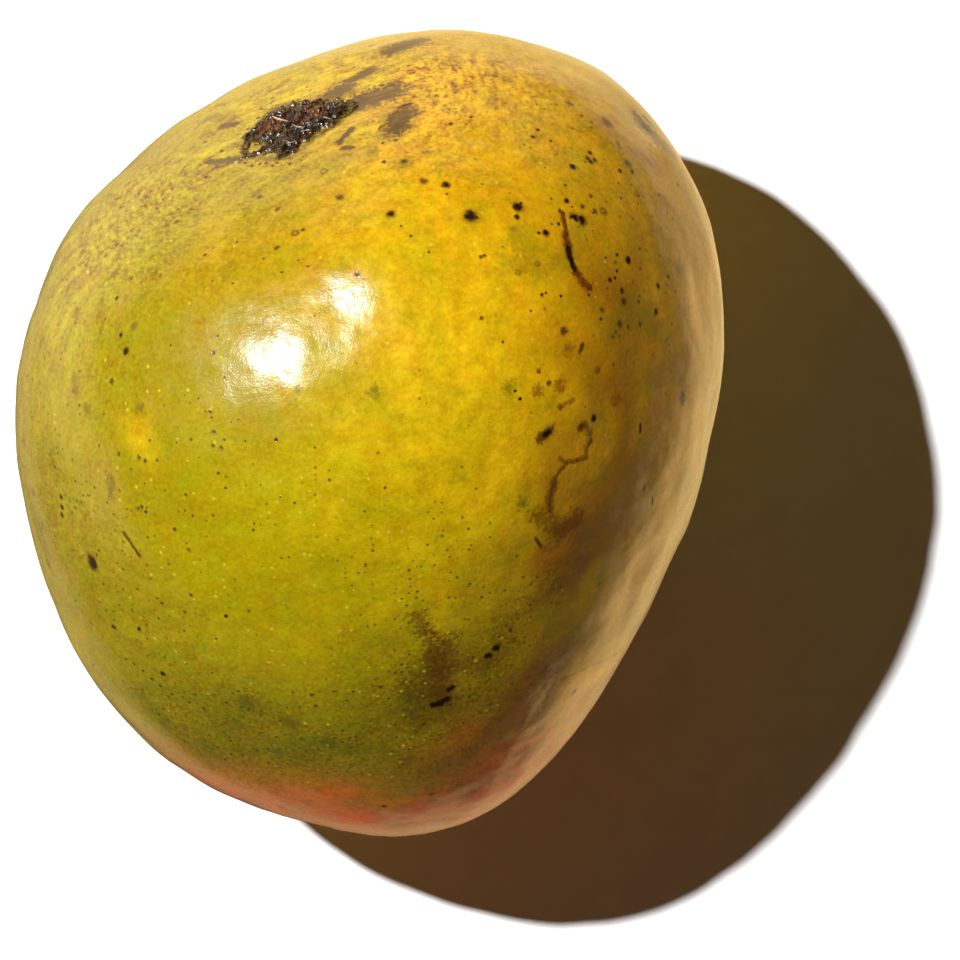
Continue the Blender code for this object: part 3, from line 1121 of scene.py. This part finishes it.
def skin_material(colours):
    """The waxy skin: zones of ripeness broken up by noise, pores, specks and marks, with its
    relief in millimetres."""
    material, wires, shader = start_material("mango_skin")
    dots = dots_group()
    mark = mark_group()
    mm = wires.millimetres()
    patches = wires.swing(mm, PATCH_SIZE)
    mottle = wires.swing(mm, MOTTLE_SIZE)
    grain = wires.swing(mm, GRAIN_SIZE, 1.0)
    colour = solid(colours.gold)
    for quality, (patchy, mottled) in COLOUR_SWINGS.items():
        swing = wires.plus_times(mottle, mottled, wires.plus_times(patches, patchy, 1.0))
        share = wires.math("MULTIPLY", wires.attribute(quality), swing, clamp=True)
        colour = wires.mix(share, colour, solid(getattr(colours, quality)))

    meridian = wires.attribute("meridian", "Vector")
    run = wires.vector("MULTIPLY", meridian, STREAK_REPEATS)
    beside = wires.vector("MULTIPLY", wires.attribute("own", "Vector"), STEM_STREAK_REPEATS)
    near_stem = wires.step(wires.split(meridian)[2], *STREAK_BLEND, 1.0, 0.0)
    streak = wires.swing(wires.mix(near_stem, run, beside), 1.0, 3.0, 0.7)
    uneven = wires.times(streak, wires.plus_times(wires.attribute("streaks"), *STREAK_SHADE))
    uneven = wires.plus_times(patches, PATCH_SHADE, uneven)
    uneven = wires.plus_times(mottle, MOTTLE_SHADE, uneven)
    uneven = wires.plus_times(grain, GRAIN_SHADE, uneven)
    lively = wires.math("ADD", wires.attribute("olive"), wires.attribute("streaks"))
    uneven = wires.times(uneven, wires.plus_times(lively, *LIVELY_SHADE))
    shade = wires.vector("ADD", wires.scaled(SHADE_TINT, uneven), (1.0, 1.0, 1.0))
    shade = wires.vector("ADD", shade, wires.scaled(HUE_TINT, wires.swing(mm, HUE_SIZE, 1.0)))
    colour = wires.vector("MULTIPLY", colour, shade)

    for quality, most, least, spacing, radius, softness, strength, tint in SKIN_DOTS:
        density = wires.plus_times(wires.attribute(quality), most, least)
        looks = {"Spacing": spacing, "Radius": radius, "Density": density, "Softness": softness}
        found = wires.group(dots, Vector=mm, **looks)
        colour = wires.mix(wires.times(found["Mask"], strength), colour, solid(getattr(colours, tint)))

    swing = wires.times(wires.swing(mm, WANDER_SIZE, 2.0, 0.7), WANDER_SWING)
    marked = 0.0
    relief = 0.0
    for layer in range(MARK_LAYERS):
        name = f"marks_{layer}"
        tint = wires.node("ShaderNodeAttribute", attribute_name=name + "_tint")
        found = wires.group(
            mark,
            Swing=swing,
            Place=wires.attribute(name + "_place", "Vector"),
            Edge=wires.attribute(name + "_edge", "Vector"),
            Dress=wires.attribute(name + "_dress", "Vector"),
        )
        colour = wires.mix(found["Halo"], colour, HALO_COLOUR, "MULTIPLY")
        cover = wires.times(found["Mask"], tint.outputs["Alpha"])
        colour = wires.mix(cover, colour, tint.outputs["Color"])
        marked = wires.math("MAXIMUM", marked, cover)
        relief = wires.math("ADD", relief, found["Relief"])
    wires.feed(shader.inputs["Base Color"], colour)

    gloss = wires.plus_times(mottle, MOTTLE_ROUGHNESS, SKIN_ROUGHNESS)
    wires.feed(shader.inputs["Roughness"], wires.plus_times(marked, MARK_ROUGHNESS, gloss))
    height = wires.times(relief, MARK_HEIGHT)
    for size, rise, detail, roughness in SKIN_RELIEF:
        height = wires.plus_times(wires.noise(mm, size, detail, roughness), rise, height)
    wires.feed(shader.inputs["Normal"], raised(wires, height))
    return material


def raised(wires, height):
    """Return the normal of a relief whose height is in millimetres."""
    bump = wires.node("ShaderNodeBump")
    wires.feed(bump.inputs["Strength"], 1.0)
    wires.feed(bump.inputs["Distance"], MM)
    wires.feed(bump.inputs["Height"], height)
    return bump.outputs["Normal"]


def bell(across, along, place, radius):
    """Return a round bell about a place in the fruit's own plane at the stem."""
    return np.exp(-(((across - place[0]) ** 2 + (along - place[1]) ** 2) / radius**2))


def lump_field(points, count, half_length, half_width, seed):
    """Return the distance of each point to the nearest of many drawn middles, the gap to the
    next nearest, and the nearest one's own drawn number."""
    draw = np.random.default_rng(seed)
    reach = np.sqrt(draw.random(count))
    turn = draw.uniform(0.0, 2.0 * math.pi, count)
    middles = np.stack([half_length * reach * np.cos(turn), half_width * reach * np.sin(turn)], axis=-1)
    distance = np.linalg.norm(points[:, None] - middles[None], axis=2)
    order = np.argpartition(distance, 1, axis=1)
    rows = np.arange(len(points))
    first, second = distance[rows, order[:, 0]], distance[rows, order[:, 1]]
    return first, second - first, draw.random(count)[order[:, 0]]


def crust_reach(surface, form, turn):
    """Return how far the crust reaches from its middle for each turn round it."""
    hits = np.array([surface.under_pixel(pixel)[0] for pixel in CRUST_OUTLINE])
    own = (hits - resting_shift(form)) @ resting_turn(form)
    across, along = own[:, 0] - CRUST_MIDDLE[0], own[:, 1] - CRUST_MIDDLE[1]
    return np.interp(turn, np.arctan2(along, across), np.hypot(across, along), period=2.0 * math.pi)


def crust_piece(surface, form):
    """Make the crust: a mound over the stem, heaped with round lumps of two sizes.

    Rows run out from the middle to the drawn outline over the top and back underneath. The
    height is the mound's bell, times a dome on each drawn lump, less the hollow. Near the rim it
    also dips under the skin where a wave field is high, which leaves a ragged edge with islands.
    """
    rows = CRUST_ROWS + len(CRUST_UNDER)
    reach = np.concatenate([np.arange(1, CRUST_ROWS + 1) / CRUST_ROWS, CRUST_UNDER])
    turn = np.arange(CRUST_COLUMNS) * 2.0 * math.pi / CRUST_COLUMNS
    reach, turn = np.meshgrid(reach, turn, indexing="ij")
    widened = OUTLINE_SCALE + sum(rise * np.sin(count * turn) for rise, count in OUTLINE_WAVES)
    outline = crust_reach(surface, form, turn) * widened
    across = (reach * outline * np.cos(turn)).reshape(-1)
    along = (reach * outline * np.sin(turn)).reshape(-1)
    across = np.concatenate([[0.0], across, [0.0]]) + CRUST_MIDDLE[0]
    along = np.concatenate([[0.0], along, [0.0]]) + CRUST_MIDDLE[1]
    flat = np.stack([across, along], axis=-1)
    far = np.concatenate([[0.0], reach.reshape(-1), [0.0]])
    under = np.zeros(len(far), bool)
    under[1 + CRUST_ROWS * CRUST_COLUMNS :] = True

    level = np.column_stack([flat, np.zeros(len(flat))])
    waves = [wave_field(level, LUMP_WAVELENGTH, seed) for seed in LUMP_WAVE_SEEDS]
    shaken = flat + LUMP_WANDER * np.stack(waves, axis=-1)
    spread = form.crust_length * LUMP_SPREAD, form.crust_width * LUMP_SPREAD
    big, big_gap, drawn = lump_field(shaken, BIG_LUMPS[0], *spread, CRUST_SEED)
    small, small_gap, _ = lump_field(shaken, SMALL_LUMPS[0], *spread, CRUST_SEED + 1)
    mound = np.exp(-((far / 0.95) ** 4))
    dome = np.maximum(1.0 - (big / BIG_LUMPS[1]) ** 2, 0.0)
    lumps = BARE_SHARE + BIG_SHARE * dome * (LEAST_DRAWN + drawn)
    lumps += SMALL_SHARE * np.maximum(1.0 - (small / SMALL_LUMPS[1]) ** 2, 0.0)
    height = form.crust_height * mound * lumps
    ragged = sum(rise * wave_field(level, length, seed) for length, rise, seed in RAGGED_WAVES)
    near_rim = np.clip(far * 2.2 - 1.1, 0.0, 1.0)
    height -= RAGGED_DEPTH * np.clip(ragged + 0.2, 0.0, 1.2) * near_rim
    height -= HOLLOW_DEPTH * bell(across, along, CRUST_HOLLOW, HOLLOW_RADIUS)
    height -= RIM_DROP * far**8
    height[under] = -UNDERSIDE_DEPTH

    colatitude = np.arctan(np.hypot(across, along) / SCAR_ARM)
    directions = unit_directions(colatitude, np.arctan2(along, across))
    own = bare_points(directions, form) + directions * height[:, None]
    piece = smooth_mesh("stem_crust", lay_to_rest(own, form), closed_faces(rows, CRUST_COLUMNS))
    core = sum(bell(across, along, place, CORE_RADIUS) for place in CRUST_CORES)
    # The crevices, near the gap between two lumps: the material paints shade into them and makes them
    # rougher
    crevice = np.clip(1.0 - big_gap / BIG_CREVICE, 0.0, 1.0)
    crevice += 0.6 * np.clip(1.0 - small_gap / SMALL_CREVICE, 0.0, 1.0)
    rim = (RIM_DROP - height) / RIM_BLEND
    for name, values in (("lump", drawn), ("core", core), ("crevice", crevice), ("rim", rim)):
        set_attribute(piece.data, name, "FLOAT", "POINT", np.clip(values, 0.0, 1.0))
    return piece


def crust_material(colours):
    """The dried crust: each lump has its own dark brown, the hearts are red-brown, and it thins
    to a brittle olive-tan at the rim."""
    material, wires, shader = start_material("stem_crust")
    mm = wires.millimetres()
    grain = wires.noise(mm, CRUST_GRAIN_SIZE, 3.0, 0.7)
    patches = wires.noise(mm, CRUST_PATCH_SIZE, 3.0)
    crevice = wires.attribute("crevice")
    heart = wires.times(wires.attribute("core"), wires.step(patches, *HEART_FADE))
    lump = wires.step(wires.attribute("lump"), *LUMP_FADE)
    colour = wires.mix(lump, solid(colours.crust), solid(colours.crust_lump))
    colour = wires.mix(heart, colour, solid(colours.crust_core))
    # Painted shade: the crevices are darkened to near-black
    colour = wires.mix(wires.times(crevice, CREVICE_SHADE_COVER), colour, solid(colours.crevice))
    edge = wires.times(wires.attribute("rim"), wires.step(grain, *RIM_FADE))
    colour = wires.mix(edge, colour, solid(colours.crust_rim))
    colour = wires.scaled(colour, wires.plus_times(grain, *GRAIN_TINT))
    wires.feed(shader.inputs["Base Color"], colour)
    gloss = wires.times(patches, CRUST_ROUGHNESS)
    wires.feed(shader.inputs["Roughness"], wires.plus_times(crevice, CREVICE_ROUGHNESS, gloss))
    shader.inputs["Specular IOR Level"].default_value = CRUST_SPECULAR
    height = wires.times(grain, CRUST_GRAIN_HEIGHT)
    height = wires.plus_times(wires.noise(mm, CRUST_BEAD_SIZE), CRUST_BEAD_HEIGHT, height)
    wires.feed(shader.inputs["Normal"], raised(wires, height))
    return material


def tube_points(path, radius):
    """Return the points of a round tube with closed ends along a path: rings square to it, of
    a radius that tapers as the root of a sine from end to end."""
    share = np.linspace(0.0, 1.0, FIBRE_RINGS)
    known = np.linspace(0.0, 1.0, len(path))
    middles = np.stack([np.interp(share, known, path[:, axis]) for axis in range(3)], axis=-1)
    ahead = np.gradient(middles, axis=0)
    ahead /= np.linalg.norm(ahead, axis=1)[:, None]
    side = np.cross(ahead, (0.0, 0.0, 1.0))
    side /= np.linalg.norm(side, axis=1)[:, None]
    above = np.cross(side, ahead)
    turn = np.arange(FIBRE_SIDES) * 2.0 * math.pi / FIBRE_SIDES
    taper = radius * np.sqrt(np.sin(math.pi * np.clip(share, FIBRE_BLUNT, 1.0 - FIBRE_BLUNT)))
    rings = side[:, None] * np.cos(turn)[None, :, None] + above[:, None] * np.sin(turn)[None, :, None]
    rings = middles[:, None] + rings * taper[:, None, None]
    tips = middles[:1] - ahead[:1] * radius, middles[-1:] + ahead[-1:] * radius
    return np.vstack([tips[0], rings.reshape(-1, 3), tips[1]])


def fibres_piece(crust, form):
    """Make the pale fibres that stick to the crust, as closed tubes in one mesh."""
    surface = Surface(crust, form)
    points = []
    faces = []
    for width, *pixels in FIBRES:
        hits = [surface.under_pixel(pixel) for pixel in pixels]
        path = np.array([point + normal * width * MM * FIBRE_LIFT for point, normal in hits])
        start = sum(len(part) for part in points)
        points.append(tube_points(path, width * MM / 2.0))
        for face in closed_faces(FIBRE_RINGS, FIBRE_SIDES):
            faces.append(tuple(start + corner for corner in face))
    return smooth_mesh("crust_fibres", np.vstack(points), faces)


def fibre_material(colours):
    """Dry, pale plant fibre with faint darker bands."""
    material, wires, shader = start_material("crust_fibres")
    bands = wires.noise(wires.millimetres(), BAND_SIZE)
    banded = wires.step(bands, *BAND_FADE)
    colour = wires.mix(banded, solid(colours.fibre), solid(colours.fibre_band))
    wires.feed(shader.inputs["Base Color"], colour)
    wires.feed(shader.inputs["Roughness"], wires.plus_times(bands, *BAND_ROUGHNESS))
    wires.feed(shader.inputs["Normal"], raised(wires, wires.times(bands, BAND_HEIGHT)))
    return material


def floor_material(colours):
    """The pale floor, with faint uneven patches.

    The light that it sends back is warm. For the skin's mirrored rays it is black, and instead it
    gives off a painted reflection: an even glow, though it is no lamp, that ends close to the
    fruit and fades away from it, and is stronger on the fruit's right.
    """
    material, wires, shader = start_material("stage_floor")
    mm = wires.millimetres()
    patches = wires.swing(mm, FLOOR_PATCH_SIZE)
    shade = wires.plus_times(patches, *FLOOR_TINT)
    rays = wires.node("ShaderNodeLightPath").outputs
    colour = wires.mix(rays["Is Camera Ray"], solid(colours.bounce), solid(colours.floor))
    # Black for glossy rays, so the skin mirrors the painted glow below and not the lit floor
    colour = wires.mix(rays["Is Glossy Ray"], colour, (0.0, 0.0, 0.0, 1.0))
    wires.feed(shader.inputs["Base Color"], wires.scaled(colour, shade))
    rings = []
    for middle, *limits in (GLOW_START, GLOW_END):
        away = wires.vector("LENGTH", wires.vector("SUBTRACT", mm, middle))
        rings.append(wires.step(away, *limits))
    x, y = wires.split(mm)[:2]
    sides = []
    for (along_x, along_y), *limits in (GLOW_SIDE, GLOW_CORNER):
        run = wires.plus_times(x, along_x, wires.times(y, along_y))
        sides.append(wires.step(run, *limits))
    bright = wires.times(rings[0], wires.plus_times(rings[1], *sides))
    # Painted reflection: the floor glows, for glossy rays only, inside the rings and sides worked out
    # above
    glow = wires.scaled(tuple(colours.painted_reflection), bright)
    wires.feed(shader.inputs["Emission Color"], wires.scaled(glow, rays["Is Glossy Ray"]))
    shader.inputs["Emission Strength"].default_value = GLOW_STRENGTH
    material.cycles.emission_sampling = "NONE"
    wires.feed(shader.inputs["Roughness"], wires.plus_times(patches, *FLOOR_ROUGHNESS))
    return material


def room_world(stage):
    """The room: white where the camera looks past the floor, and dim for all other light."""
    world = bpy.data.worlds.new("pale_room")
    world.use_nodes = True
    wires = Wiring(world.node_tree)
    dim = world.node_tree.nodes["Background"]
    wires.feed(dim.inputs["Color"], solid(stage.room))
    white = wires.node("ShaderNodeBackground")
    wires.feed(white.inputs["Color"], (1.0, 1.0, 1.0, 1.0))
    seen = wires.node("ShaderNodeLightPath").outputs["Is Camera Ray"]
    blend = wires.node("ShaderNodeMixShader")
    wires.feed(blend.inputs[0], seen)
    wires.feed(blend.inputs[1], dim.outputs[0])
    wires.feed(blend.inputs[2], white.outputs[0])
    wires.feed(world.node_tree.nodes["World Output"].inputs["Surface"], blend.outputs[0])
    return world


class MANGO_OT_skin(bpy.types.Operator):
    """Make the skin as one closed surface, with its colour zones and marks"""

    bl_idname = "mango.skin"
    bl_label = "Skin"

    def execute(self, context):
        form = context.scene.mango_form
        piece = skin_piece(form)
        surface = Surface(piece, form)
        lay_zones(surface)
        lay_marks(surface)
        piece.data.materials.append(skin_material(context.scene.mango_colours))
        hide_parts("mango")
        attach(piece, "root")
        return {"FINISHED"}


class MANGO_OT_crust(bpy.types.Operator):
    """Make the dried crust on the stem scar"""

    bl_idname = "mango.crust"
    bl_label = "Stem crust"

    def execute(self, context):
        form = context.scene.mango_form
        piece = crust_piece(Surface(bpy.data.objects["mango_skin"], form), form)
        piece.data.materials.append(crust_material(context.scene.mango_colours))
        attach(piece, "root")
        return {"FINISHED"}


class MANGO_OT_fibres(bpy.types.Operator):
    """Make the pale fibres on the crust"""

    bl_idname = "mango.fibres"
    bl_label = "Crust fibres"

    def execute(self, context):
        crust = bpy.data.objects["stem_crust"]
        piece = fibres_piece(crust, context.scene.mango_form)
        piece.data.materials.append(fibre_material(context.scene.mango_colours))
        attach(piece, "root")
        return {"FINISHED"}


class MANGO_OT_stage(bpy.types.Operator):
    """Make the floor, the key light, the room and the camera"""

    bl_idname = "mango.stage"
    bl_label = "Stage"

    def execute(self, context):
        scene = context.scene
        stage = scene.mango_stage
        reach = np.arange(1, FLOOR_RINGS + 1) / FLOOR_RINGS
        turn = np.arange(FLOOR_SIDES) * 2.0 * math.pi / FLOOR_SIDES
        reach, turn = np.meshgrid(reach, turn, indexing="ij")
        level = np.zeros(reach.shape)
        ring = np.stack([reach * np.cos(turn), reach * np.sin(turn), level], axis=-1).reshape(-1, 3)
        points = np.vstack([[[0.0, 0.0, 0.0]], ring, [[0.0, 0.0, -FLOOR_DEPTH]]]) * stage.floor_radius
        points[:, 2] -= FLOOR_GAP
        floor = smooth_mesh("stage_floor", points, closed_faces(FLOOR_RINGS, FLOOR_SIDES))
        floor.data.shade_flat()
        floor.data.materials.append(floor_material(scene.mango_colours))

        light = bpy.data.lights.new("key", "AREA")
        light.shape = "DISK"
        light.size = stage.key_size
        light.energy = stage.key_power
        lamp = bpy.data.objects.new("key", light)
        towards = Vector(KEY_DIRECTION).normalized()
        lamp.location = towards * stage.key_distance + Vector((0.0, 0.0, FRUIT_MIDDLE))
        lamp.rotation_euler = towards.to_track_quat("Z", "Y").to_euler()
        scene.collection.objects.link(lamp)
        scene.world = room_world(stage)

        lens = bpy.data.cameras.new("view")
        lens.lens = LENS_MM
        lens.sensor_width = SENSOR_MM
        lens.clip_start = 0.05
        lens.clip_end = 20.0
        camera = bpy.data.objects.new("view", lens)
        camera.location = CAMERA_PLACE
        scene.collection.objects.link(camera)
        scene.camera = camera
        scene.view_settings.view_transform = "Standard"
        return {"FINISHED"}


class MANGO_PT_build(bpy.types.Panel):
    """Lists the operators that build the fruit and its stage"""

    bl_idname = "MANGO_PT_build"
    bl_label = "Mango"
    bl_space_type = "VIEW_3D"
    bl_region_type = "UI"
    bl_category = "Mango"

    def draw(self, context):
        for operator in BUILD_ORDER:
            self.layout.operator(operator.bl_idname)
        for group in (context.scene.mango_form, context.scene.mango_colours, context.scene.mango_stage):
            box = self.layout.box()
            for name in group.__annotations__:
                box.prop(group, name)


BUILD_ORDER = (MANGO_OT_skin, MANGO_OT_crust, MANGO_OT_fibres, MANGO_OT_stage)
CLASSES = (MangoForm, MangoColours, MangoStage, *BUILD_ORDER, MANGO_PT_build)


def register():
    """Register the classes and hang the property groups on the scene."""
    for entry in CLASSES:
        bpy.utils.register_class(entry)
    bpy.types.Scene.mango_form = bpy.props.PointerProperty(type=MangoForm)
    bpy.types.Scene.mango_colours = bpy.props.PointerProperty(type=MangoColours)
    bpy.types.Scene.mango_stage = bpy.props.PointerProperty(type=MangoStage)


def unregister():
    """Take the property groups off the scene and unregister the classes."""
    del bpy.types.Scene.mango_form
    del bpy.types.Scene.mango_colours
    del bpy.types.Scene.mango_stage
    for entry in reversed(CLASSES):
        bpy.utils.unregister_class(entry)


def main():
    register()
    bpy.ops.mango.skin()
    bpy.ops.mango.crust()
    bpy.ops.mango.fibres()
    bpy.ops.mango.stage()


if __name__ == "__main__":
    main()
